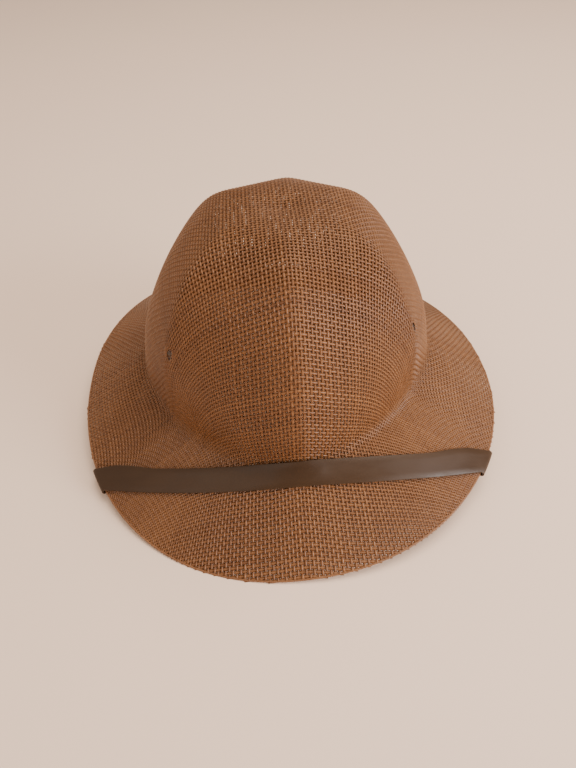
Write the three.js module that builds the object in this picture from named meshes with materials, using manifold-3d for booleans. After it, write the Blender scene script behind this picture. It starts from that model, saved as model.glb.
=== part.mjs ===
// Pith helmet: a moulded one-piece mesh shell with six crown ridges and a chin strap over the brim.
// Millimetres, +Z up, the front of the hat towards -Y, origin on the surface it rests on.
import * as THREE from 'three';
import Module from 'manifold-3d';

// ---- driving dimensions -------------------------------------------------
const WALL = 1.6; // woven shell, pressed and stiffened
const BRIM_HALF_WIDTH = 140;
const BRIM_FRONT = 154; // brim edge ahead of the hat's middle
const BRIM_REAR = 157;
const BRIM_SQUARE = 2.17; // 2 is an ellipse, more is squarer
const BRIM_MIDDLE_Y = -1.5;
const SIDE_LIFT = 15; // how much higher the brim's sides stand than its front and back
const BRIM_TWIST = 5.6; // right front and left back a little up, as the hat sits
const REST_CUT = 0.8; // depth taken flat where the edge meets the surface it rests on

const CROWN_HALF_WIDTH = 94;
const CROWN_FRONT = 94.5;
const CROWN_REAR = 92.5;
const CROWN_SQUARE = [1.76, 1.92]; // fore half and back half, under 2 is a little pointed
const CROWN_MIDDLE_Y = -8.2;
const APEX_Y = -10.8;
const CROWN_FOOT_Z = 45.5; // where the crown's wall would stand upright
const CROWN_RISE = 101.5; // from there to the top
const FOOT_UP = 5; // reach of the round between crown and brim, up the wall
const FOOT_OUT = 4; // and out over the brim
// front, side and rear values of the foot's rise over the brim's edge and of the wall's fullness
const FOOT_RISE = [37, 31, 28];
const FULL_OUT = [0.9, 0.99, 1.16];
const FULL_UP = [0.9, 1.21, 1.13];

// ridges: degrees round from the front towards +X
const FRONT_RIDGE = 0;
const SHORT_RIDGES = [-54, 53.5, -132, 121, 171];
const RIDGE_SPREAD = 28; // how far a ridge's slopes reach
const RIDGE_ROUND = 2.5; // roundness of its crest
const RIDGE_HEIGHTS = [3.5, 14.2, 8.4, 2.5]; // at 0, 30, 60 and 90 degrees down from the apex
const RIDGE_FADE = [0.7, 0.95]; // the short ridges die out between these shares of the way down

// vent holes: azimuth, share of the way down, half length, half width
const VENTS = [[-51.8, 0.6915, 3.2, 1.25], [55.2, 0.727, 3.0, 1.1]];

const STRAP_WIDTH = 14.5;
const STRAP_THICK = 1.1;
const STRAP_GAP = 0.4; // clear of the shell over the brim
const INSIDE_GAP = 1.2; // a little looser where it lies inside
const STRAP_LEFT = [-54.5, -61.2]; // azimuth of its front and rear border at the brim's edge
const STRAP_RIGHT = [47.2, 53.8];
const STRAP_BOW = 18.5; // how far the crown's foot pushes it forward
const STRAP_INSIDE_S = 0.86; // its level on the crown's inner wall, as a share of the way down

// ---- helpers ------------------------------------------------------------
const RAD = Math.PI / 180;
const { sin, cos, abs, max, min, sqrt, hypot, PI } = Math;
const mix = (a, b, t) => a + (b - a) * t;
const clamp = (x, a, b) => min(max(x, a), b);
const smooth = (x) => x * x * (3 - 2 * x);
const vec = (x, y, z) => new THREE.Vector3(x, y, z);

// a value that turns from its front to its side to its rear figure round the hat
function round3(phi, [front, side, rear]) {
  const c = cos(phi);
  return side + ((c > 0 ? front : rear) - side) * c * c;
}

// distance from the middle to a superellipse
function oval(phi, across, along, square) {
  return (abs(sin(phi) / across) ** square + abs(cos(phi) / along) ** square) ** (-1 / square);
}

function edgeHeight(phi) {
  const lowest = (SIDE_LIFT - hypot(SIDE_LIFT, 2 * BRIM_TWIST)) / 2;
  const wave = SIDE_LIFT * sin(phi) ** 2 + BRIM_TWIST * sin(2 * phi);
  return WALL + wave - lowest - REST_CUT;
}

// a smooth curve through evenly spaced values
function through(values, x) {
  const last = values.length - 2;
  const step = (k) => values[k + 1] - values[k];
  const slope = (k) => (step(Math.max(k - 1, 0)) + step(min(k, last))) / 2;
  const k = clamp(Math.floor(x), 0, last);
  const t = x - k;
  const level = values[k] * (1 + 2 * t) * (1 - t) ** 2 + values[k + 1] * t * t * (3 - 2 * t);
  return level + slope(k) * t * (1 - t) ** 2 + slope(k + 1) * t * t * (t - 1);
}

function ridgeHeight(phi, theta, radius) {
  const share = theta / (PI / 2);
  const fade = 1 - smooth(clamp((share - RIDGE_FADE[0]) / (RIDGE_FADE[1] - RIDGE_FADE[0]), 0, 1));
  let hollow = 1;
  for (const at of [FRONT_RIDGE, ...SHORT_RIDGES]) {
    const turn = abs(((phi - at * RAD + 5 * PI) % (2 * PI)) - PI);
    const off = turn * radius;
    const crest = Math.exp(-(hypot(off, RIDGE_ROUND) - RIDGE_ROUND) / RIDGE_SPREAD);
    hollow *= 1 - crest * (at === FRONT_RIDGE ? 1 : fade);
  }
  return through(RIDGE_HEIGHTS, share * 3) * (1 - hollow);
}

// radius and height of the crown's wall at an angle theta down from the apex
function crownWall(phi, theta) {
  const fore = cos(phi) > 0;
  const [along, square] = fore ? [CROWN_FRONT, CROWN_SQUARE[0]] : [CROWN_REAR, CROWN_SQUARE[1]];
  const r = oval(phi, CROWN_HALF_WIDTH, along, square) * sin(theta) ** round3(phi, FULL_OUT);
  const z = CROWN_FOOT_Z + CROWN_RISE * max(cos(theta), 0) ** round3(phi, FULL_UP);
  const ridge = ridgeHeight(phi, theta, r);
  return [r + ridge * sin(theta), z + ridge * cos(theta)];
}

// the foot of the crown's wall and the round that joins it to the brim, in radius and height
function footing(phi) {
  const edgeR = oval(phi, BRIM_HALF_WIDTH, cos(phi) > 0 ? BRIM_FRONT : BRIM_REAR, BRIM_SQUARE);
  const edgeZ = edgeHeight(phi);
  const kneeZ = edgeZ + round3(phi, FOOT_RISE);
  const share = max(kneeZ + FOOT_UP - CROWN_FOOT_Z, 0) / CROWN_RISE;
  const theta = Math.acos(share ** (1 / round3(phi, FULL_UP)));
  const [wallR, wallZ] = crownWall(phi, theta);
  const [aboveR, aboveZ] = crownWall(phi, theta - 0.02);
  const kneeR = wallR + (wallR - aboveR) * (wallZ - kneeZ) / (aboveZ - wallZ);
  const slope = (kneeZ - edgeZ) / (edgeR - kneeR);
  const outR = kneeR + FOOT_OUT;
  return { theta, wallR, wallZ, kneeR, kneeZ, outR, outZ: kneeZ - slope * FOOT_OUT, edgeR, edgeZ };
}

// outer surface: s runs 0 to 1 down the crown, 1 to 2 round its foot, 2 to 3 out over the brim
function outer(phi, s) {
  const f = footing(phi);
  if (s <= 1) {
    const [r, z] = crownWall(phi, max(s, 0.0001) * f.theta);
    const up = clamp((z - CROWN_FOOT_Z) / CROWN_RISE, 0, 1);
    return vec(r * sin(phi), mix(CROWN_MIDDLE_Y, APEX_Y, up * up) - r * cos(phi), z);
  }
  if (s <= 2) {
    const u = s - 1;
    const r = (1 - u) ** 2 * f.wallR + 2 * u * (1 - u) * f.kneeR + u * u * f.outR;
    const z = (1 - u) ** 2 * f.wallZ + 2 * u * (1 - u) * f.kneeZ + u * u * f.outZ;
    return vec(r * sin(phi), CROWN_MIDDLE_Y - r * cos(phi), z);
  }
  const w = s - 2;
  const r = mix(f.outR, f.edgeR, w);
  const middle = mix(CROWN_MIDDLE_Y, BRIM_MIDDLE_Y, w);
  return vec(r * sin(phi), middle - r * cos(phi), mix(f.outZ, f.edgeZ, w));
}

// outward normal from small steps round and down the surface
function normal(phi, s) {
  if (s < 0.02) return vec(0, 0, 1);
  const d = 0.004;
  const s0 = min(s, 3 - d);
  const round = outer(phi + d, s0).sub(outer(phi - d, s0));
  const down = outer(phi, min(s0 + d, 3)).sub(outer(phi, max(s0 - d, 0)));
  return down.cross(round).normalize();
}

const offset = (phi, s, d) => outer(phi, s).addScaledVector(normal(phi, s), d);

// ---- closed bodies ------------------------------------------------------
const wasm = await Module();
wasm.setup();

function solid(points, faces) {
  const vertProperties = new Float32Array(points.flatMap((p) => [p.x, p.y, p.z]));
  const triVerts = new Uint32Array(faces.flat());
  return new wasm.Manifold(new wasm.Mesh({ numProp: 3, vertProperties, triVerts }));
}

function mesh(name, body, material) {
  const { vertProperties, triVerts } = body.getMesh();
  const geometry = new THREE.BufferGeometry();
  geometry.setAttribute('position', new THREE.BufferAttribute(new Float32Array(vertProperties), 3));
  geometry.setIndex(new THREE.BufferAttribute(new Uint32Array(triVerts), 1));
  geometry.computeVertexNormals();
  const made = new THREE.Mesh(geometry, material);
  made.name = name;
  return made;
}

// ---- shell --------------------------------------------------------------
// columns fall on every ridge, with a pair close beside each to hold its crest
function columns() {
  const at = [-180, -128, -54, 0, 53.5, 116.5, 180];
  const steps = [10, 12, 11, 11, 11, 11];
  const list = [];
  steps.forEach((n, i) => {
    for (let k = 0; k < n; k += 1) {
      const even = k / n;
      const t = even - 0.6 * sin(2 * PI * even) / (2 * PI);
      list.push(mix(at[i], at[i + 1], t) * RAD);
    }
  });
  return list;
}

const CROWN_ROWS = [0.07, 0.14, 0.21, 0.28, 0.35, 0.42, 0.49, 0.56, 0.63, 0.7, 0.77, 0.84, 0.91, 1];
const FOOT_ROWS = [1.25, 1.5, 1.75, 2];
const BRIM_ROWS = [2.2, 2.4, 2.6, 2.8, 3];

function shellBody() {
  const around = columns();
  const rows = [...CROWN_ROWS, ...FOOT_ROWS, ...BRIM_ROWS];
  const n = around.length;
  const points = [outer(0, 0)];
  for (const s of rows) for (const phi of around) points.push(outer(phi, s));
  const inside = points.length;
  points.push(outer(0, 0).addScaledVector(vec(0, 0, 1), -WALL));
  for (const s of rows) for (const phi of around) points.push(offset(phi, s, -WALL));
  const faces = [];
  for (let j = 0; j < n; j += 1) {
    const k = (j + 1) % n;
    faces.push([0, 1 + j, 1 + k]);
    faces.push([inside, inside + 1 + k, inside + 1 + j]);
    for (let i = 0; i + 1 < rows.length; i += 1) {
      const a = 1 + i * n + j;
      const b = 1 + i * n + k;
      faces.push([a, a + n, b + n], [a, b + n, b]);
      faces.push([inside + a, inside + b + n, inside + a + n], [inside + a, inside + b, inside + b + n]);
    }
    const a = 1 + (rows.length - 1) * n + j;
    const b = 1 + (rows.length - 1) * n + k;
    faces.push([a, inside + a, inside + b], [a, inside + b, b]);
  }
  return solid(points, faces);
}

// a lens-shaped plug standing through the wall, long way down the crown
function ventPlug([azimuth, s, halfLong, halfWide]) {
  const phi = azimuth * RAD;
  const out = normal(phi, s);
  const down = outer(phi, s + 0.01).sub(outer(phi, s - 0.01)).normalize();
  const side = out.clone().cross(down);
  const middle = outer(phi, s);
  const count = 16;
  const points = [];
  for (const lift of [-WALL * 2, WALL]) {
    for (let i = 0; i < count; i += 1) {
      const a = 2 * PI * i / count;
      const long = halfLong * cos(a);
      const wide = halfWide * sin(a) * sqrt(abs(sin(a)));
      points.push(middle.clone().addScaledVector(out, lift).addScaledVector(down, long).addScaledVector(side, wide));
    }
  }
  return wasm.Manifold.hull(points.map((p) => [p.x, p.y, p.z]));
}

let shell = shellBody();
for (const vent of VENTS) shell = shell.subtract(ventPlug(vent));
const under = wasm.Manifold.cube([400, 400, 20], true).translate([0, 0, -10]);
shell = shell.subtract(under);

// ---- chin strap ---------------------------------------------------------
// one closed band: over the brim, round its edge on both sides, under it and round inside the crown
const ACROSS = [-1, -0.5, 0, 0.5, 1]; // front border to rear border
const LIFT = STRAP_GAP + STRAP_THICK / 2;
const UP = vec(0, 0, 1);

// the change of azimuth and share that moves a surface point by a small vector
function steer(phi, s, move) {
  const d = 0.003;
  const a = outer(phi + d, s).sub(outer(phi - d, s)).divideScalar(2 * d);
  const b = outer(phi, min(s + d, 3)).sub(outer(phi, s - d)).divideScalar(min(s + d, 3) - s + d);
  const det = a.dot(a) * b.dot(b) - a.dot(b) ** 2;
  const dPhi = (a.dot(move) * b.dot(b) - b.dot(move) * a.dot(b)) / det;
  const dS = (b.dot(move) * a.dot(a) - a.dot(move) * a.dot(b)) / det;
  return [phi + dPhi, min(s + dS, 3)];
}

// surface place over a spot in plan, from a first guess on the brim
function over(x, y, [phi, s]) {
  for (let i = 0; i < 12; i += 1) {
    const p = outer(phi, s);
    [phi, s] = steer(phi, s, vec(clamp(x - p.x, -6, 6), clamp(y - p.y, -6, 6), 0));
  }
  return [phi, s];
}

// visible stretch: the front border runs from edge to edge, pushed forward by the crown's foot
function topRun(count) {
  const rim = (degrees) => outer(degrees * RAD, 3);
  const start = rim(STRAP_LEFT[0]);
  const end = rim(STRAP_RIGHT[0]);
  const line = (u) => vec(mix(start.x, end.x, u), mix(start.y, end.y, u) - STRAP_BOW * (1 - (2 * u - 1) ** 2), 0);
  const edges = [STRAP_LEFT, STRAP_RIGHT].map(([a, b]) => rim(b).sub(rim(a)).setZ(0).normalize());
  const spans = [STRAP_LEFT, STRAP_RIGHT].map(([a, b]) => rim(b).distanceTo(rim(a)));
  const stations = [];
  let place = [STRAP_LEFT[0] * RAD, 2.95];
  for (let i = 1; i < count; i += 1) {
    const u = 0.5 - 0.5 * cos(PI * i / count) * (0.6 + 0.4 * abs(cos(PI * i / count)));
    const spot = line(u);
    place = over(spot.x, spot.y, place);
    const along = line(u + 0.01).sub(line(u - 0.01)).normalize();
    const square = vec(-along.y, along.x, 0);
    const nearEdge = 1 - smooth(clamp(min(u, 1 - u) / 0.14, 0, 1));
    const back = square.clone().multiplyScalar(1 - nearEdge);
    back.addScaledVector(edges[u < 0.5 ? 0 : 1], nearEdge).normalize();
    const width = mix(STRAP_WIDTH / back.dot(square), spans[u < 0.5 ? 0 : 1], nearEdge);
    const front = outer(...place);
    const trail = [];
    let [phi, s] = place;
    let rear = front;
    while (rear.distanceTo(front) < width) {
      const n = normal(phi, s);
      const climb = back.clone().cross(UP).cross(n).normalize();
      if (climb.dot(back) + climb.z < 0) climb.negate();
      [phi, s] = steer(phi, s, climb.multiplyScalar(0.4));
      rear = outer(phi, s);
      trail.push(rear);
    }
    const across = rear.clone().sub(front).normalize();
    const sideways = along.clone().addScaledVector(across, -along.dot(across)).normalize();
    const up = sideways.cross(across).normalize();
    const hump = max(0, ...trail.map((p) => p.clone().sub(front).dot(up)));
    const middle = front.clone().add(rear).multiplyScalar(0.5).addScaledVector(up, LIFT + hump + 0.15);
    stations.push(ACROSS.map((t) => ({ at: middle.clone().addScaledVector(across, t * width / 2), up })));
  }
  return stations;
}

// half a turn round the brim's edge, from the upper side to the lower side
function fold(pair, steps) {
  const stations = [];
  for (let i = 0; i <= steps; i += 1) {
    const a = PI * i / steps;
    stations.push(ACROSS.map((t) => {
      const phi = mix(pair[0], pair[1], (t + 1) / 2) * RAD;
      const n = normal(phi, 3);
      const edge = outer(phi + 0.01, 3).sub(outer(phi - 0.01, 3));
      const out = edge.cross(n).normalize();
      if (out.dot(outer(phi, 3).sub(outer(phi, 2.9))) < 0) out.negate();
      const up = n.clone().multiplyScalar(cos(a)).addScaledVector(out, sin(a));
      return { at: offset(phi, 3, -WALL / 2).addScaledVector(up, WALL / 2 + LIFT), up };
    }));
  }
  return stations;
}

// hidden stretch, from the brim's edge under the brim and up to the back of the crown's inner wall
function insideRun(sign, pair, count) {
  const edge = abs(pair[0] + pair[1]) / 2;
  const knots = [
    [edge, 3], [edge + 14, 2.5], [edge + 30, 2], [edge + 40, 1.4], [edge + 52, 1.0],
    [edge + 66, STRAP_INSIDE_S], [edge + 90, STRAP_INSIDE_S], [180, STRAP_INSIDE_S],
  ];
  const curve = new THREE.CatmullRomCurve3(knots.map(([a, s]) => vec(a, s * 40, 0)), false, 'centripetal');
  const path = (u) => {
    const p = curve.getPointAt(clamp(u, 0, 1));
    return [sign * p.x * RAD, min(p.y / 40, 3)];
  };
  const edgeway = outer(pair[1] * RAD, 3).sub(outer(pair[0] * RAD, 3)).normalize();
  const stations = [];
  for (let i = 1; i <= count; i += 1) {
    const u = i / count;
    const along = outer(...path(u + 0.01)).sub(outer(...path(u - 0.01))).normalize();
    const n = normal(...path(u));
    const flank = u > 0.99 ? vec(0, 0, -1) : along.cross(n).normalize();
    const [phi, s] = path(u);
    if (flank.dot(outer(phi, min(s + 0.01, 3)).sub(outer(phi, s - 0.01))) < 0) flank.negate();
    const blend = smooth(clamp(u / 0.15, 0, 1));
    const wide = edgeway.clone().multiplyScalar(1 - blend).addScaledVector(flank, blend).normalize();
    const width = STRAP_WIDTH / mix(0.83, 1, blend);
    const slack = (INSIDE_GAP - STRAP_GAP) * smooth(clamp(u / 0.1, 0, 1));
    stations.push(ACROSS.map((t) => {
      let at = path(u);
      const steps = Math.round(abs(t) * 12);
      for (let k = 0; k < steps; k += 1) {
        const m = normal(...at);
        const go = wide.clone().addScaledVector(m, -wide.dot(m)).normalize();
        at = steer(...at, go.multiplyScalar(Math.sign(t) * width / 24));
      }
      return { at: offset(...at, -WALL - LIFT - slack), up: normal(...at).negate() };
    }));
  }
  return stations;
}

function strapBody() {
  const right = [...fold(STRAP_RIGHT, 8), ...insideRun(1, STRAP_RIGHT, 40)];
  const left = [...fold(STRAP_LEFT, 8), ...insideRun(-1, STRAP_LEFT, 40).slice(0, -1)];
  const loop = [...topRun(40), ...right, ...left.reverse()];
  const points = [];
  for (const station of loop) {
    for (const { at, up } of station) points.push(at.clone().addScaledVector(up, STRAP_THICK / 2));
    for (const { at, up } of [...station].reverse()) points.push(at.clone().addScaledVector(up, -STRAP_THICK / 2));
  }
  const n = ACROSS.length * 2;
  const faces = [];
  for (let i = 0; i < loop.length; i += 1) {
    const a = i * n;
    const b = ((i + 1) % loop.length) * n;
    for (let j = 0; j < n; j += 1) {
      const k = (j + 1) % n;
      faces.push([a + j, b + j, b + k], [a + j, b + k, a + k]);
    }
  }
  return solid(points, faces);
}

const strap = strapBody();

// ---- the part -----------------------------------------------------------
const weave = new THREE.MeshStandardMaterial({ color: 0x8a6140, roughness: 0.75, metalness: 0 });
const vinyl = new THREE.MeshStandardMaterial({ color: 0x4a3b2b, roughness: 0.42, metalness: 0 });

const group = new THREE.Group();
group.name = 'pith_helmet';
group.add(mesh('helmet_shell', shell, weave));
group.add(mesh('chin_strap', strap, vinyl));

export default group;
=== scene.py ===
"""Looks of a woven sun helmet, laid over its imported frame."""

import math

import bpy
import numpy as np
from mathutils import Matrix, Vector


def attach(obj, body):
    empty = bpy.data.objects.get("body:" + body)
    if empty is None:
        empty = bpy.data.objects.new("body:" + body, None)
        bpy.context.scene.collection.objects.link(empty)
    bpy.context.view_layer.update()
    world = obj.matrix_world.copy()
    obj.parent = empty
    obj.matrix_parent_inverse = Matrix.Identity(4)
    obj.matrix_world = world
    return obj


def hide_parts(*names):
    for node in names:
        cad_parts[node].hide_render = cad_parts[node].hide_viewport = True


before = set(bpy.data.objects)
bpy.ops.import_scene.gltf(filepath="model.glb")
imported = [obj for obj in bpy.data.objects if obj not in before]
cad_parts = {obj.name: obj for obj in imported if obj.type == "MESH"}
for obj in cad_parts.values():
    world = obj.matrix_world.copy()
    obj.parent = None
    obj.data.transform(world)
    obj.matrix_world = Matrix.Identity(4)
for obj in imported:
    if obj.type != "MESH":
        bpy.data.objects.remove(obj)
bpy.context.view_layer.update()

bl_info = {
    "name": "Woven sun helmet",
    "version": (1, 0, 0),
    "blender": (4, 5, 0),
    "location": "3D View > Sidebar > Helmet",
    "description": "Lays the weave, rolled edge and chin strap of a sun helmet over its frame",
    "category": "Object",
}

RAD = math.pi / 180
MM = 0.001

# ---- the hat's form, in millimetres, the same sizes as the frame's solid ----
WALL = 1.6
BRIM = {"half_width": 140.0, "front": 154.0, "rear": 157.0, "square": 2.17, "middle_y": -1.5}
SIDE_LIFT = 15.0
BRIM_TWIST = 5.6
REST_CUT = 0.8
CROWN = {"half_width": 94.0, "front": 94.5, "rear": 92.5, "square_fore": 1.76, "square_back": 1.92}
CROWN_MIDDLE_Y = -8.2
APEX_Y = -10.8
FOOT_Z = 45.5
RISE = 101.5
FOOT_UP = 5.0
FOOT_OUT = 4.0
# each row: front, side, rear
FOOT_RISE = (37.0, 31.0, 28.0)
FULL_OUT = (0.9, 0.99, 1.16)
FULL_UP = (0.9, 1.21, 1.13)
SHORT_RIDGES = (-54.0, 53.5, -132.0, 121.0, 171.0)
RIDGE_SPREAD = 28.0
RIDGE_ROUND = 2.5
RIDGE_HEIGHTS = (3.5, 14.2, 8.4, 2.5)  # 0, 30, 60 and 90 degrees down from the apex
RIDGE_FADE = (0.7, 0.95)
FOOT_AT = 1.2  # where the surface counts as the crown's foot, as outer() counts it
EDGE_AT = 3.0  # where the brim ends
# azimuth, share of the way down, half length, half width
VENTS = ((-51.8, 0.6915, 3.2, 1.25), (55.2, 0.727, 3.0, 1.1))

# ---- how the strands lie, in millimetres ----
LOWEST = 0.04  # no strand reaches lower, because the hat stands on the floor
OFF_CLOTH = -9.0  # stands for a distance inside the brim's edge where there is no cloth
OPEN_GAP = 2.3  # strands this far apart keep their full wave and their own width
SHUT_GAP = 1.1  # strands this close lie pressed together
PRESSED_WAVE = 0.15  # share of the wave and of the width that pressed strands keep
SHUT_SHARE = 0.96  # share of the gap that a pressed strand fills
SLIT_END_ROOM = 0.8  # strands keep this far off a slit's ends
SLIT_SIDE_ROOM = 0.75
SLIT_REACH = 5.0  # strands move aside up to this far from a slit
SLIT_AROUND = 9.0
SLIT_TOUCH = 7.0  # a strand that passes closer than this gets finer stations
SLIT_FINE = 8.0  # and keeps them within this distance
FINER = 8  # stations for each one before
EDGE_ROLL = 0.6  # radius of the rolled edge
EDGE_INSET = 0.45  # its middle's distance inside the brim's end

# ---- the studio, in metres ----
AIM = (0, 0, 0.05)
LIGHTS = (
    {"name": "key", "place": (1.15, -0.72, 0.5), "energy": 22.5, "size": 0.75, "colour": (1.0, 0.96, 0.95)},
    {"name": "top", "place": (0.5, 0.2, 1.6), "energy": 26.0, "size": 1.2, "colour": (1.0, 0.88, 0.77)},
    {"name": "fill", "place": (-0.9, -0.7, 1.2), "energy": 5.0, "size": 1.2, "colour": (1.0, 0.88, 0.77)},
)
SKY = (1.0, 0.87, 0.75, 1)
SKY_STRENGTH = 0.62
# the camera looks down at about 44 degrees from 446 millimetres away, turned a touch
CAMERA = {"pitch": 44.35, "turn": -2.91, "roll": -2.24, "away": 0.446, "target": (0.0006, 0.0028, 0)}


def smooth(x):
    """Rises gently from 0 to 1 as x does."""
    x = np.clip(x, 0, 1)
    return x * x * (3 - 2 * x)


def round3(phi, three):
    """A value that turns from its front to its side to its rear figure round the hat."""
    c = np.cos(phi)
    return three[1] + (np.where(c > 0, three[0], three[2]) - three[1]) * c * c


def oval(phi, across, along, square):
    """Radius of an oval that is squarer than an ellipse where square is over 2."""
    return (np.abs(np.sin(phi) / across) ** square + np.abs(np.cos(phi) / along) ** square) ** (-1 / square)


def edge_height(phi):
    """Height of the brim's edge: raised at the sides, twisted a little, its lowest places cut flat."""
    lowest = (SIDE_LIFT - math.hypot(SIDE_LIFT, 2 * BRIM_TWIST)) / 2
    return WALL + SIDE_LIFT * np.sin(phi) ** 2 + BRIM_TWIST * np.sin(2 * phi) - lowest - REST_CUT


def through(values, x):
    """A smooth curve through evenly spaced values."""
    values = np.array(values)
    steps = np.diff(values)
    slopes = np.concatenate([steps[:1], (steps[1:] + steps[:-1]) / 2, steps[-1:]])
    i = np.clip(np.floor(x).astype(int), 0, len(steps) - 1)
    t = x - i
    rise = values[i] * (1 + 2 * t) * (1 - t) ** 2 + values[i + 1] * t * t * (3 - 2 * t)
    return rise + slopes[i] * t * (1 - t) ** 2 + slopes[i + 1] * t * t * (t - 1)


def ridge_height(phi, theta, radius):
    """How far the crown stands out: the front ridge runs on to the foot, the others fade above it."""
    share = theta / (math.pi / 2)
    fade = 1 - smooth((share - RIDGE_FADE[0]) / (RIDGE_FADE[1] - RIDGE_FADE[0]))
    hollow = 1.0
    for at in (0.0,) + SHORT_RIDGES:
        off = np.abs((phi - at * RAD + 5 * math.pi) % (2 * math.pi) - math.pi) * radius
        crest = np.exp(-(np.hypot(off, RIDGE_ROUND) - RIDGE_ROUND) / RIDGE_SPREAD)
        hollow = hollow * (1 - crest * (1 if at == 0.0 else fade))
    return through(RIDGE_HEIGHTS, share * 3) * (1 - hollow)


def crown_wall(phi, theta):
    """Radius and height of the crown's wall at an angle theta down from the apex."""
    fore = np.cos(phi) > 0
    r = np.where(
        fore,
        oval(phi, CROWN["half_width"], CROWN["front"], CROWN["square_fore"]),
        oval(phi, CROWN["half_width"], CROWN["rear"], CROWN["square_back"]),
    ) * np.sin(theta) ** round3(phi, FULL_OUT)
    z = FOOT_Z + RISE * np.maximum(np.cos(theta), 0) ** round3(phi, FULL_UP)
    ridge = ridge_height(phi, theta, r)
    return r + ridge * np.sin(theta), z + ridge * np.cos(theta)


def outer(phi, s):
    """Outer surface: s runs 0 to 1 down the crown, 1 to 2 round its foot, 2 to 3 out over the brim."""
    phi, s = np.broadcast_arrays(np.asarray(phi, float), np.asarray(s, float))
    edge_r = np.where(
        np.cos(phi) > 0,
        oval(phi, BRIM["half_width"], BRIM["front"], BRIM["square"]),
        oval(phi, BRIM["half_width"], BRIM["rear"], BRIM["square"]),
    )
    edge_z = edge_height(phi)
    knee_z = edge_z + round3(phi, FOOT_RISE)
    share = np.maximum(knee_z + FOOT_UP - FOOT_Z, 0) / RISE
    last = np.arccos(share ** (1 / round3(phi, FULL_UP)))
    wall_r, wall_z = crown_wall(phi, last)
    above_r, above_z = crown_wall(phi, last - 0.02)
    knee_r = wall_r + (wall_r - above_r) * (wall_z - knee_z) / (above_z - wall_z)
    slope = (knee_z - edge_z) / (edge_r - knee_r)
    out_r, out_z = knee_r + FOOT_OUT, knee_z - slope * FOOT_OUT

    r1, z1 = crown_wall(phi, np.clip(s, 0.0001, 1) * last)
    up = np.clip((z1 - FOOT_Z) / RISE, 0, 1)
    y1 = CROWN_MIDDLE_Y + (APEX_Y - CROWN_MIDDLE_Y) * up * up
    u = np.clip(s - 1, 0, 1)
    r2 = (1 - u) ** 2 * wall_r + 2 * u * (1 - u) * knee_r + u * u * out_r
    z2 = (1 - u) ** 2 * wall_z + 2 * u * (1 - u) * knee_z + u * u * out_z
    w = s - 2
    r3, z3 = out_r + (edge_r - out_r) * w, out_z + (edge_z - out_z) * w
    y3 = CROWN_MIDDLE_Y + (BRIM["middle_y"] - CROWN_MIDDLE_Y) * w
    r = np.where(s <= 1, r1, np.where(s <= 2, r2, r3))
    z = np.where(s <= 1, z1, np.where(s <= 2, z2, z3))
    mid = np.where(s <= 1, y1, np.where(s <= 2, CROWN_MIDDLE_Y, y3))
    return np.stack([r * np.sin(phi), mid - r * np.cos(phi), z], -1)


def unit(v):
    return v / np.maximum(np.linalg.norm(v, axis=-1, keepdims=True), 1e-9)


def outward(phi, s):
    """The wall's outward direction, straight up at the apex."""
    step = 0.004
    down = outer(phi, s + step) - outer(phi, np.maximum(s - step, 0))
    around = outer(phi + step, s) - outer(phi - step, s)
    n = unit(np.cross(down, around))
    top = smooth((s - step) / 0.03)[..., None]
    return unit(n * top + np.array([0, 0, 1.0]) * (1 - top))


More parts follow.
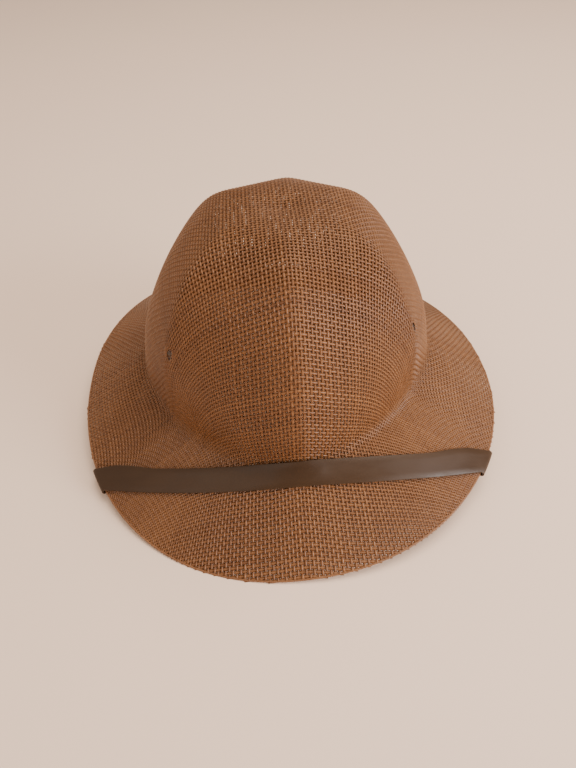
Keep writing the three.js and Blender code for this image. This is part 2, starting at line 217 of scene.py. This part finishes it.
# ---- the cloth laid on it ---------------------------------------------------
class Cloth:
    """A flat plain weave, pressed over the hat: turns places in the flat cloth into places on the hat.

    Straight ahead, behind and to both sides the threads keep close to square. Between them the
    cloth gathers, so there the threads lean together and the weave closes.
    """

    # lengthwise stretch: slack at the crown's top, taut a little above its foot, none on the brim
    SLACK = 0.9
    TAUT = 1.2
    PLAIN = 1.0
    SLACK_ABOVE = 110.0  # millimetres above the foot
    TAUT_ABOVE = 20.0
    PLAIN_BELOW = 10.0  # millimetres past the foot
    # share of the cloth that moves towards the diagonals, growing between two distances from the apex
    GATHER = 0.45
    GATHER_GROWS = (60.0, 170.0)
    CROWDING = -0.14
    CROWDING_GROWS = (60.0, 120.0)

    def __init__(self):
        self.phi = np.linspace(-math.pi, math.pi, 721)
        s = np.concatenate([np.linspace(0, 1, 150), np.linspace(1, 2, 25)[1:], np.linspace(2, 4, 90)[1:]])
        points = outer(self.phi[:, None], s[None, :])
        step = np.linalg.norm(np.diff(points, axis=1), axis=-1)
        arc = np.concatenate([np.zeros((len(self.phi), 1)), np.cumsum(step, 1)], 1)
        middle = (arc[:, 1:] + arc[:, :-1]) / 2
        foot = np.array([np.interp(FOOT_AT, s, row) for row in arc])[:, None]
        stretch = self.stretch(middle - foot)
        run = np.concatenate([np.zeros((len(self.phi), 1)), np.cumsum(step / stretch, 1)], 1)
        self.rho = np.linspace(0, run[:, -1].min(), 600)
        self.table = np.array([np.interp(self.rho, row, s) for row in run])
        self.edge = np.array([np.interp(EDGE_AT, s, row) for row in run])

    def stretch(self, past_foot):
        """Lengthwise stretch at a distance past the crown's foot."""
        climb = (past_foot + self.SLACK_ABOVE) / (self.SLACK_ABOVE - self.TAUT_ABOVE)
        ease = (past_foot + self.TAUT_ABOVE) / (self.TAUT_ABOVE + self.PLAIN_BELOW)
        on_crown = self.SLACK + (self.TAUT - self.SLACK) * np.clip(climb, 0, 1)
        return on_crown + (self.PLAIN - on_crown) * np.clip(ease, 0, 1)

    def grown(self, rho, span):
        """Share of a sideways move that is reached at a distance from the apex."""
        return smooth((rho - span[0]) / (span[1] - span[0]))

    def azimuth(self, u, v):
        """Azimuth on the hat of places in the flat cloth, by Newton's steps."""
        turn = np.arctan2(u, -v)
        rho = np.hypot(u, v)
        gather = self.GATHER * self.grown(rho, self.GATHER_GROWS)
        crowd = self.CROWDING * self.grown(rho, self.CROWDING_GROWS)
        phi = turn.copy()
        for _ in range(12):
            off = phi - gather / 4 * np.sin(4 * phi) - crowd / 8 * np.sin(8 * phi) - turn
            phi -= off / (1 - gather * np.cos(4 * phi) - crowd * np.cos(8 * phi))
        return phi

    def lay(self, u, v):
        """Azimuth, share s and how far inside the brim's edge, for places in the flat cloth."""
        phi = self.azimuth(u, v)
        rho = np.hypot(u, v)
        a = (phi + math.pi) / (2 * math.pi) * (len(self.phi) - 1)
        b = np.clip(rho / self.rho[-1] * (len(self.rho) - 1), 0, len(self.rho) - 1.001)
        a0 = np.clip(np.floor(a).astype(int), 0, len(self.phi) - 2)
        b0 = np.floor(b).astype(int)
        fa, fb = a - a0, b - b0
        t = self.table
        s = (1 - fa) * ((1 - fb) * t[a0, b0] + fb * t[a0, b0 + 1])
        s += fa * ((1 - fb) * t[a0 + 1, b0] + fb * t[a0 + 1, b0 + 1])
        return phi, s, np.interp(phi, self.phi, self.edge) - rho


def vent_frame(vent):
    """Middle of a vent slit, and the directions down the crown, across the slit and outward."""
    phi = vent[0] * RAD
    down = unit(outer(phi, vent[1] + 0.01) - outer(phi, vent[1] - 0.01))
    out = outward(phi, vent[1])
    return outer(phi, vent[1]), down, np.cross(out, down)


def part_round_vent(points, vent):
    """Moves points aside, so that a slit opens. Returns them and a side: 0 away from the slit."""
    middle, down, across = vent_frame(vent)
    half_long, half_wide = vent[2] + SLIT_END_ROOM, vent[3] + SLIT_SIDE_ROOM
    a, b = (points - middle) @ down, (points - middle) @ across
    near = np.linalg.norm(points - middle, axis=1) < SLIT_AROUND
    open_here = half_wide * np.clip(1 - (a / half_long) ** 2, 0, 1) * near
    share = np.clip(1 - np.abs(b) / SLIT_REACH, 0, 1)
    side = np.where(b < 0, -1, 1)
    moved = points + side[:, None] * (open_here * share)[:, None] * across
    return moved, np.where((open_here > 0.05) & (share > 0), side, 0)


# ---- small mesh helpers -----------------------------------------------------
def clear_selection():
    if bpy.context.object and bpy.context.object.mode != "OBJECT":
        bpy.ops.object.mode_set(mode="OBJECT")
    bpy.ops.object.select_all(action="DESELECT")


def pick(obj):
    clear_selection()
    obj.select_set(True)
    bpy.context.view_layer.objects.active = obj


def settle(obj, name):
    """Names a piece and puts its place into its mesh."""
    obj.name = name
    obj.data.name = name
    pick(obj)
    bpy.ops.object.transform_apply(location=True, rotation=True, scale=True)


def baking_row(n):
    """Flat layout of one strand's faces for baking: its four sides one above the other, then its ends."""
    share = 0.22
    station = np.arange(n - 1)[:, None] + 1 + np.zeros(4)
    side = np.arange(4)[None, :] * share + np.zeros((n - 1, 1))
    corners = [(station, side), (station, side + share), (station + 1, side + share), (station + 1, side)]
    flat = np.stack([np.stack(corner, -1) for corner in corners], 2).reshape(-1, 4, 2)
    cap = np.array([[0.2, 0.0], [0.2, 0.3], [0.7, 0.3], [0.7, 0.0]])
    return np.concatenate([flat, [cap], [cap + [n + 0.1, 0]]])


def strands_mesh(name, strands):
    """One mesh of closed flat strands. Each strand is a dict of arrays along its length."""
    verts, faces, tone, lie, places = [], [], [], [], []
    longest = max(len(st["at"]) for st in strands) + 2
    base = 0
    for row, st in enumerate(strands):
        n = len(st["at"])
        half = st["wide"][:, None] / 2 * st["side"]
        rise = st["thick"][:, None] / 2 * st["up"]
        ring = np.stack([st["at"] - half, st["at"] + rise, st["at"] + half, st["at"] - rise], 1)
        verts.append(ring.reshape(-1, 3))
        i = np.arange(n - 1)[:, None] * 4 + base
        k = np.arange(4)[None, :]
        k2 = (k + 1) % 4
        quads = np.stack([i + k, i + k2, i + 4 + k2, i + 4 + k], -1).reshape(-1, 4)
        last = base + 4 * (n - 1)
        ends = np.array([[base + 3, base + 2, base + 1, base], [last, last + 1, last + 2, last + 3]])
        faces.append(np.concatenate([quads, ends]))
        places.append((baking_row(n) + [0, row]) / [longest, len(strands)])
        tone.append(np.full(4 * n, st["tone"]))
        lie.append(np.repeat(st["lie"], 4))
        base += 4 * n
    verts = np.concatenate(verts) * MM
    verts[:, 2] = np.maximum(verts[:, 2], LOWEST * MM)
    faces = np.concatenate(faces)[:, ::-1]
    mesh = bpy.data.meshes.new(name)
    mesh.vertices.add(len(verts))
    mesh.vertices.foreach_set("co", verts.astype(np.float32).ravel())
    mesh.loops.add(faces.size)
    mesh.loops.foreach_set("vertex_index", faces.astype(np.int32).ravel())
    mesh.polygons.add(len(faces))
    mesh.polygons.foreach_set("loop_start", np.arange(0, faces.size, 4, dtype=np.int32))
    mesh.update(calc_edges=True)
    layout = mesh.uv_layers.new(name="OFBake")
    layout.data.foreach_set("uv", np.concatenate(places)[:, ::-1].astype(np.float32).ravel())
    mesh.polygons.foreach_set("use_smooth", np.ones(len(faces), bool))
    for label, values in (("tone", tone), ("lie", lie)):
        layer = mesh.attributes.new(label, "FLOAT", "POINT")
        layer.data.foreach_set("value", np.concatenate(values).astype(np.float32))
    mesh.validate()
    obj = bpy.data.objects.new(name, mesh)
    bpy.context.collection.objects.link(obj)
    return obj


def lay_strands(settings):
    """Works out every warp and weft strand on the hat and returns the two lists."""
    cloth = Cloth()
    pitch = settings.pitch / MM
    count = int(cloth.rho[-1] / pitch) + 2
    line = (np.arange(-count, count) + 0.5) * pitch
    u, v = np.meshgrid(line, line, indexing="ij")
    phi, s, inside = cloth.lay(u, v)
    inside = np.where(np.hypot(u, v) < cloth.rho[-1] - 0.5, inside, OFF_CLOTH)
    tight = settings.side_tightness * smooth((s - 1.6) / 0.8) * np.sin(phi) ** 4
    crossing = np.add.outer(np.arange(2 * count), np.arange(2 * count))
    over = np.where(crossing % 2 == 0, 1.0, -1.0)
    place, up = outer(phi, s), outward(phi, s)
    rng = np.random.default_rng(11)
    warp = lay_family(settings, rng, place, up, inside, tight, over)
    turned = (grid.swapaxes(0, 1) for grid in (place, up, inside, tight, -over))
    return warp, lay_family(settings, rng, *turned)


def ended(values):
    """Repeats the first and the last value, for a strand's two ends."""
    return np.concatenate([values[:1], values, values[-1:]])


def lay_family(settings, rng, place, up, inside, tight, over):
    """Strands of one family: every row of the grids is a strand, with a station at each crossing."""
    wave, sink = settings.wave / MM, settings.sink / MM
    plain_share = settings.width / settings.pitch
    across = np.gradient(place, axis=0)
    t = unit(np.gradient(place, axis=1))
    gap = np.linalg.norm(across - t * (across * t).sum(-1, keepdims=True), axis=-1)
    strands = []
    for i in range(len(place)):
        tone = rng.normal()
        broad = 1 + 0.06 * rng.normal()
        ok = np.flatnonzero(inside[i] > 0)
        if len(ok) < 2:
            continue
        a, b = ok[0], ok[-1]
        if a < 1 or b > len(place) - 2:
            raise RuntimeError("the flat cloth is too small for the hat")
        row = slice(a, b + 1)
        to_head = inside[i, a] / (inside[i, a] - max(inside[i, a - 1], OFF_CLOTH))
        to_tail = inside[i, b] / (inside[i, b] - max(inside[i, b + 1], OFF_CLOTH))
        free = smooth((gap[i, row] - SHUT_GAP) / (OPEN_GAP - SHUT_GAP))
        free = free * (1 - PRESSED_WAVE) + PRESSED_WAVE
        lift = wave * over[i, row] * free - sink
        at = place[i, row] + up[i, row] * lift[:, None]
        head = place[i, a] + (place[i, a - 1] - place[i, a]) * to_head - up[i, a] * sink
        tail = place[i, b] + (place[i, b + 1] - place[i, b]) * to_tail - up[i, b] * sink
        share = SHUT_SHARE + (plain_share * broad - SHUT_SHARE) * free
        share = np.minimum(share + tight[i, row], 0.97)
        wide = gap[i, row] * share
        wide = wide * (1 + 0.03 * rng.normal(size=len(wide)))
        strands += finish_strand(
            at=np.concatenate([head[None], at, tail[None]]),
            up=ended(up[i, row]),
            wide=ended(wide),
            lie=np.concatenate([[0.0], over[i, row], [0.0]]),
            thick=settings.thickness / MM * (0.4 + 0.6 * ended(free)),
            tone=tone,
            key=i - len(place) // 2,
        )
    return strands


def finish_strand(at, up, wide, lie, thick, tone, key):
    """Finishes one strand's frame. One that meets a vent slit parts round it, or is cut by it.

    The key tells where in its family the strand lies: below 0 on the first side of the middle.
    """
    if len(at) < 3:
        return []
    pieces = [np.arange(len(at))]
    for vent in VENTS:
        middle = vent_frame(vent)[0]
        if np.linalg.norm(at - middle, axis=1).min() > SLIT_TOUCH:
            continue
        fine = np.linspace(0, len(at) - 1, (len(at) - 1) * FINER + 1)
        grid = np.arange(len(at))
        at = np.stack([np.interp(fine, grid, at[:, k]) for k in range(3)], 1)
        up = unit(np.stack([np.interp(fine, grid, up[:, k]) for k in range(3)], 1))
        wide, lie, thick = (np.interp(fine, grid, value) for value in (wide, lie, thick))
        close = np.linalg.norm(at - middle, axis=1) < SLIT_FINE
        at, side = part_round_vent(at, vent)
        cuts = np.flatnonzero(side[1:] * side[:-1] < 0) + 1
        keep = close | (np.arange(len(at)) % FINER == 0)
        pieces = [run[keep[run]] for run in np.split(np.arange(len(at)), cuts)]
        for cut in cuts:
            wide = wide * (1 - 0.35 * np.exp(-(((np.arange(len(at)) - cut + 0.5) / 3) ** 2)))
    out = []
    for take in pieces:
        if len(take) < 2:
            continue
        t = unit(np.gradient(at[take], axis=0))
        side = unit(np.cross(up[take], t))
        out.append(
            {"at": at[take], "up": up[take], "side": side, "wide": wide[take], "lie": lie[take],
             "thick": thick[take], "tone": tone, "key": key}
        )
    return out


# ---- materials --------------------------------------------------------------
class Sock:
    """A node socket that can be added, multiplied and so on, as numbers are."""

    def __init__(self, paint, socket):
        self.paint, self.socket = paint, socket

    def _math(self, operation, *values):
        return self.paint.node("ShaderNodeMath", {"operation": operation}, dict(enumerate(values)))

    def __add__(self, other):
        return self._math("ADD", self, other)

    def __sub__(self, other):
        return self._math("SUBTRACT", self, other)

    def __mul__(self, other):
        return self._math("MULTIPLY", self, other)

    def __radd__(self, other):
        return self._math("ADD", other, self)

    def __rsub__(self, other):
        return self._math("SUBTRACT", other, self)

    def __rmul__(self, other):
        return self._math("MULTIPLY", other, self)

    def clamp(self):
        """Kept between 0 and 1."""
        made = self._math("ADD", self, 0.0)
        made.socket.node.use_clamp = True
        return made


class Paint:
    """One material and the nodes in it."""

    def __init__(self, name):
        self.material = bpy.data.materials.new(name)
        self.material.use_nodes = True
        self.tree = self.material.node_tree
        self.shader = self.tree.nodes["Principled BSDF"]

    def node(self, kind, settings=None, inputs=None, output=0):
        made = self.tree.nodes.new(kind)
        for key, value in (settings or {}).items():
            setattr(made, key, value)
        for key, value in (inputs or {}).items():
            self.feed(made.inputs[key], value)
        return Sock(self, made.outputs[output])

    def feed(self, socket, value):
        if isinstance(value, Sock):
            self.tree.links.new(value.socket, socket)
        elif isinstance(value, tuple) and len(value) == 3 and socket.type == "RGBA":
            socket.default_value = (*value, 1)
        else:
            socket.default_value = value

    def place(self):
        return self.node("ShaderNodeTexCoord", output="Object")

    def value(self, name):
        return self.node("ShaderNodeAttribute", {"attribute_name": name}, output="Fac")

    def noise(self, scale, detail=2.0, rough=0.5, stretch=(1, 1, 1)):
        at = self.node("ShaderNodeMapping", {}, {"Vector": self.place(), "Scale": stretch})
        inputs = {"Vector": at, "Scale": scale, "Detail": detail, "Roughness": rough}
        return self.node("ShaderNodeTexNoise", {}, inputs)

    def blend(self, share, a, b):
        return self.node("ShaderNodeMix", {"data_type": "RGBA"}, {0: share, 6: a, 7: b}, output=2)

    def bump(self, height, strength, distance):
        inputs = {"Strength": strength, "Distance": distance, "Height": height}
        return self.node("ShaderNodeBump", {}, inputs, output="Normal")

    def finish(self, **inputs):
        for key, value in inputs.items():
            self.feed(self.shader.inputs[key.replace("_", " ")], value)
        return self.material


def weave_material(colours):
    """Tan strands with painted shade where they dip under a crossing strand, and fibres along them."""
    p = Paint("tan_weave")
    tone = p.value("tone")
    lie = p.value("lie")
    patches = p.noise(14.0, 3.0)
    fleck = p.noise(420.0, 2.0)
    shade = (0.5 + tone * 0.13 + (patches - 0.5) * 0.9 + (fleck - 0.5) * 0.5).clamp()
    colour = p.blend(shade, tuple(colours.strand_dark), tuple(colours.strand_light))
    # painted shade: the strand colour runs toward a near-black where the strand dips under the crossing
    # strand
    under = ((1 - lie) * 0.5).clamp() * 0.6
    colour = p.blend(under, colour, tuple(colours.strand_dip_shade))
    rough = 0.37 + (fleck - 0.5) * 0.3
    fibres = p.noise(1500.0, 2.0)
    relief = p.bump(fibres, 0.35, 0.0002)
    return p.finish(Base_Color=colour, Roughness=rough, Normal=relief, Specular_IOR_Level=0.42)


def edge_material(colours):
    """The same tan, with the mottle of many cut ends."""
    p = Paint("tan_edge")
    patches = p.noise(14.0, 3.0)
    threads = p.noise(500.0, 3.0)
    shade = (0.45 + (patches - 0.5) * 0.9 + (threads - 0.5) * 1.2).clamp()
    colour = p.blend(shade, tuple(colours.strand_dark), tuple(colours.strand_light))
    rough = 0.55 + (threads - 0.5) * 0.3
    return p.finish(Base_Color=colour, Roughness=rough, Normal=p.bump(threads, 0.5, 0.0004))


def vinyl_material(colours):
    """Dark satin vinyl, with a fine grain and long scuffs."""
    p = Paint("olive_vinyl")
    broad = p.noise(30.0, 3.0, stretch=(0.4, 1, 1))
    grain = p.noise(900.0, 2.0)
    scuff = p.noise(160.0, 4.0, 0.65, stretch=(0.25, 1, 1))
    shade = (0.5 + (broad - 0.5) * 1.1 + (scuff - 0.5) * 0.35).clamp()
    colour = p.blend(shade, tuple(colours.vinyl_dark), tuple(colours.vinyl_light))
    rough = (0.4 + (scuff - 0.5) * 0.35).clamp()
    relief = p.bump(grain, 0.12, 0.0002)
    return p.finish(Base_Color=colour, Roughness=rough, Normal=relief, Specular_IOR_Level=0.32)


# ---- sizes and colours that a user would change -------------------------------
def length_prop(name, description, default):
    return bpy.props.FloatProperty(
        name=name, description=description, default=default, unit="LENGTH", precision=5
    )


class HelmetSizes(bpy.types.PropertyGroup):
    """Sizes of the weave."""

    pitch: length_prop("Pitch", "Distance between strands in the flat cloth", 0.00245)
    width: length_prop("Strand width", "Width of one flat strand", 0.00172)
    thickness: length_prop("Strand thickness", "Thickness of one strand", 0.0007)
    wave: length_prop("Wave", "How far a strand rises over and dips under the next", 0.0003)
    side_tightness: bpy.props.FloatProperty(
        name="Side tightness",
        description="How much wider the strands lie at both sides of the brim",
        default=0.2,
    )
    sink: length_prop("Sink", "Depth of the weave's middle below the wall's outer side", 0.00068)


def colour_prop(name, description, default):
    return bpy.props.FloatVectorProperty(
        name=name, description=description, default=default, subtype="COLOR", min=0, max=1
    )


class HelmetColours(bpy.types.PropertyGroup):
    """Colours of the weave, strap and floor."""

    strand_light: colour_prop("Light strand", "Lightest tan of the strands", (0.275, 0.116, 0.041))
    strand_dark: colour_prop("Dark strand", "Darkest tan of the strands", (0.15, 0.056, 0.018))
    # colour of the painted shade where a strand dips under its neighbour
    strand_dip_shade: colour_prop("Deep strand", "Colour where a strand dips under", (0.03, 0.01, 0.003))
    vinyl_light: colour_prop("Light vinyl", "Lighter part of the strap", (0.06, 0.029, 0.0105))
    vinyl_dark: colour_prop("Dark vinyl", "Darker part of the strap", (0.026, 0.0105, 0.0035))
    floor: colour_prop("Floor", "The plain floor", (0.92, 0.7, 0.55))


# ---- operators ----------------------------------------------------------------
class HELMET_OT_weave(bpy.types.Operator):
    """Lay the warp and weft strands over crown and brim"""

    bl_idname = "helmet.weave"
    bl_label = "Weave"

    def execute(self, context):
        sizes, colours = context.scene.helmet_sizes, context.scene.helmet_colours
        warp, weft = lay_strands(sizes)
        made = []
        material = weave_material(colours)
        for name, strands, keep in (
            ("warp_right", warp, lambda k: k < 0),
            ("warp_left", warp, lambda k: k >= 0),
            ("weft_front", weft, lambda k: k < 0),
            ("weft_back", weft, lambda k: k >= 0),
        ):
            chosen = [st for st in strands if keep(st["key"])]
            if not chosen:
                raise RuntimeError(f"no strands for {name}")
            obj = strands_mesh(name, chosen)
            obj.data.materials.append(material)
            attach(obj, "root")
            made.append(obj)
        for obj in made:
            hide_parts("helmet_shell")
        return {"FINISHED"}


class HELMET_OT_edge(bpy.types.Operator):
    """Roll the brim's edge"""

    bl_idname = "helmet.edge"
    bl_label = "Brim edge"

    def execute(self, context):
        clear_selection()
        ring, tube = 0.15, 0.001
        bpy.ops.mesh.primitive_torus_add(
            major_segments=360, minor_segments=10, major_radius=ring, minor_radius=tube
        )
        obj = context.object
        count = len(obj.data.vertices)
        co = np.empty(count * 3)
        obj.data.vertices.foreach_get("co", co)
        co = co.reshape(-1, 3)
        phi = np.arctan2(co[:, 0], -co[:, 1])
        out = (np.hypot(co[:, 0], co[:, 1]) - ring) / tube
        rise = co[:, 2] / tube
        n = outward(phi, np.full(count, EDGE_AT - 0.01))
        beyond = unit(outer(phi, EDGE_AT) - outer(phi, EDGE_AT - 0.1))
        middle = outer(phi, EDGE_AT) - n * (WALL / 2) - beyond * EDGE_INSET
        new = middle + (beyond * out[:, None] + n * rise[:, None]) * EDGE_ROLL
        new[:, 2] = np.maximum(new[:, 2], LOWEST + 0.01)
        obj.data.vertices.foreach_set("co", (new * MM).ravel())
        obj.data.update()
        settle(obj, "brim_edge")
        bpy.ops.object.shade_smooth()
        bpy.ops.object.mode_set(mode="EDIT")
        bpy.ops.mesh.select_all(action="SELECT")
        bpy.ops.mesh.normals_make_consistent(inside=False)
        bpy.ops.object.mode_set(mode="OBJECT")
        obj.data.materials.append(edge_material(context.scene.helmet_colours))
        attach(obj, "root")
        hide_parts("helmet_shell")
        return {"FINISHED"}


class HELMET_OT_strap(bpy.types.Operator):
    """Finish the chin strap"""

    bl_idname = "helmet.strap"
    bl_label = "Chin strap"

    def execute(self, context):
        obj = bpy.data.objects.new("vinyl_strap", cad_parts["chin_strap"].data.copy())
        context.collection.objects.link(obj)
        settle(obj, "vinyl_strap")
        obj.data.materials.clear()
        bpy.ops.object.mode_set(mode="EDIT")
        bpy.ops.mesh.select_all(action="SELECT")
        bpy.ops.mesh.remove_doubles(threshold=0.00002)
        bpy.ops.mesh.tris_convert_to_quads(face_threshold=math.pi, shape_threshold=math.pi)
        bpy.ops.object.mode_set(mode="OBJECT")
        round_off = obj.modifiers.new("round", "BEVEL")
        round_off.width = 0.0002
        round_off.segments = 2
        round_off.limit_method = "ANGLE"
        round_off.angle_limit = math.radians(50)
        bpy.ops.object.modifier_apply(modifier="round")
        bpy.ops.object.shade_smooth_by_angle(angle=math.radians(40))
        obj.data.materials.append(vinyl_material(context.scene.helmet_colours))
        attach(obj, "root")
        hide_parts("chin_strap")
        return {"FINISHED"}


def add_light(name, place, energy, size, colour):
    data = bpy.data.lights.new(name, "AREA")
    data.energy = energy
    data.color = colour
    data.size = size
    light = bpy.data.objects.new(name, data)
    light.location = place
    light.rotation_euler = (Vector(AIM) - Vector(place)).to_track_quat("-Z", "Y").to_euler()
    bpy.context.collection.objects.link(light)


def add_camera():
    pitch, turn, roll = (CAMERA[key] * RAD for key in ("pitch", "turn", "roll"))
    back = Vector((math.sin(turn) * math.cos(pitch), -math.cos(turn) * math.cos(pitch), math.sin(pitch)))
    level = Vector((math.cos(turn), math.sin(turn), 0))
    steep = level.cross(-back)
    right = level * math.cos(roll) + steep * math.sin(roll)
    up = steep * math.cos(roll) - level * math.sin(roll)
    data = bpy.data.cameras.new("camera")
    data.lens = 28.125
    data.sensor_width = 36
    data.clip_start = 0.01
    camera = bpy.data.objects.new("camera", data)
    bpy.context.collection.objects.link(camera)
    place = Vector(CAMERA["target"]) + back * CAMERA["away"]
    camera.matrix_world = Matrix.Translation(place) @ Matrix((right, up, back)).transposed().to_4x4()
    bpy.context.scene.camera = camera


class HELMET_OT_stage(bpy.types.Operator):
    """Add the floor, the lights and the camera"""

    bl_idname = "helmet.stage"
    bl_label = "Stage"

    def execute(self, context):
        clear_selection()
        bpy.ops.mesh.primitive_plane_add(size=8)
        floor = context.object
        settle(floor, "floor")
        p = Paint("pale_floor")
        soft = p.noise(3.0, 2.0)
        tint = tuple(context.scene.helmet_colours.floor)
        light = tuple(min(c * 1.04, 1) for c in tint)
        floor.data.materials.append(p.finish(Base_Color=p.blend(soft, tint, light), Roughness=0.7))
        world = bpy.data.worlds.new("studio")
        world.use_nodes = True
        sky = world.node_tree.nodes["Background"].inputs
        sky["Color"].default_value = SKY
        sky["Strength"].default_value = SKY_STRENGTH
        context.scene.world = world
        for light in LIGHTS:
            add_light(**light)
        add_camera()
        return {"FINISHED"}


class HELMET_PT_panel(bpy.types.Panel):
    """Lists the helmet's operators and sizes"""

    bl_label = "Helmet"
    bl_idname = "HELMET_PT_panel"
    bl_space_type = "VIEW_3D"
    bl_region_type = "UI"
    bl_category = "Helmet"

    def draw(self, context):
        for operator in OPERATORS:
            self.layout.operator(operator.bl_idname)
        for group in (context.scene.helmet_sizes, context.scene.helmet_colours):
            for key in group.__annotations__:
                self.layout.prop(group, key)


OPERATORS = (HELMET_OT_weave, HELMET_OT_edge, HELMET_OT_strap, HELMET_OT_stage)
CLASSES = (HelmetSizes, HelmetColours, *OPERATORS, HELMET_PT_panel)


def register():
    for cls in CLASSES:
        bpy.utils.register_class(cls)
    bpy.types.Scene.helmet_sizes = bpy.props.PointerProperty(type=HelmetSizes)
    bpy.types.Scene.helmet_colours = bpy.props.PointerProperty(type=HelmetColours)


def unregister():
    del bpy.types.Scene.helmet_colours
    del bpy.types.Scene.helmet_sizes
    for cls in reversed(CLASSES):
        bpy.utils.unregister_class(cls)


def main():
    register()
    bpy.ops.helmet.weave()
    bpy.ops.helmet.edge()
    bpy.ops.helmet.strap()
    bpy.ops.helmet.stage()


if __name__ == "__main__":
    main()
